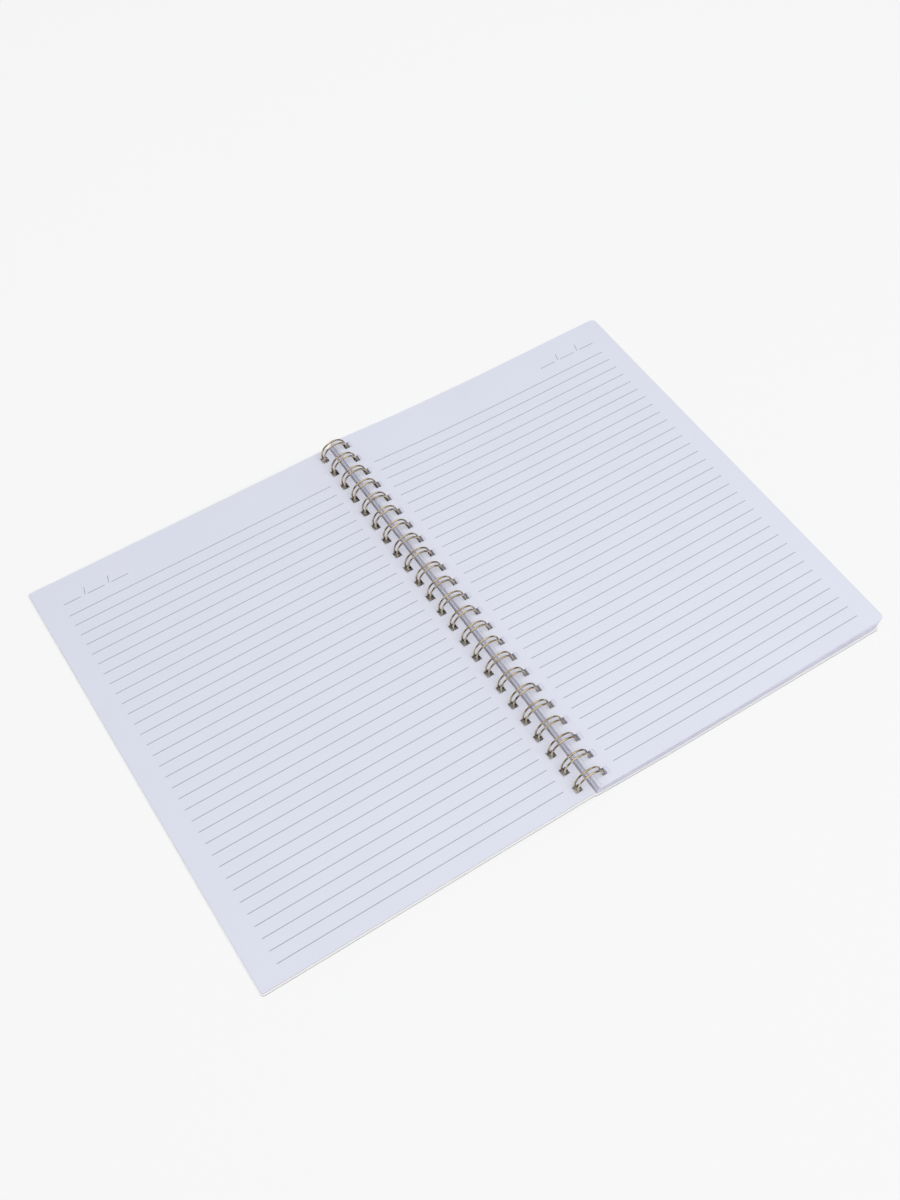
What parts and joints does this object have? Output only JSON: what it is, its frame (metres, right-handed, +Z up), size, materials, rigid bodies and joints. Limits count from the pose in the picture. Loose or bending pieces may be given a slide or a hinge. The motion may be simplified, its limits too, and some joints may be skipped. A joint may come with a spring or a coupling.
{
  "type": "open wire-bound notebook",
  "caption": "Ruled notebook with a twin loop wire binding, lying open and flat, with blank covers and dated ruled pages; its front cover swings over to close it.",
  "frame": {"origin": "on the table, in the middle of the footprint of the open notebook", "axes": "+X across the open pages to the reader's right, +Y up the page along the spine, +Z up from the table"},
  "size_m": [0.421, 0.296, 0.018],
  "materials": {
    "cover_board": "smooth white coated board",
    "page_paper": "uncoated writing paper with a cool tint and thin grey rules",
    "gold_wire": "steel wire with a satin antique gold coat"
  },
  "bodies": {
    "book": {"back_cover": "cover_board", "page_block": "page_paper", "twin_loop_wire": "gold_wire"},
    "front": {"front_cover": "cover_board", "turned_leaves": "page_paper"}
  },
  "joints": [
    {"name": "front_cover_turn", "type": "hinge", "parent": "book", "child": "front", "pos_m": [-0.00082, 0, 0.00903], "axis": [0, 1, 0], "range_deg": [0, 182.2]}
  ]
}
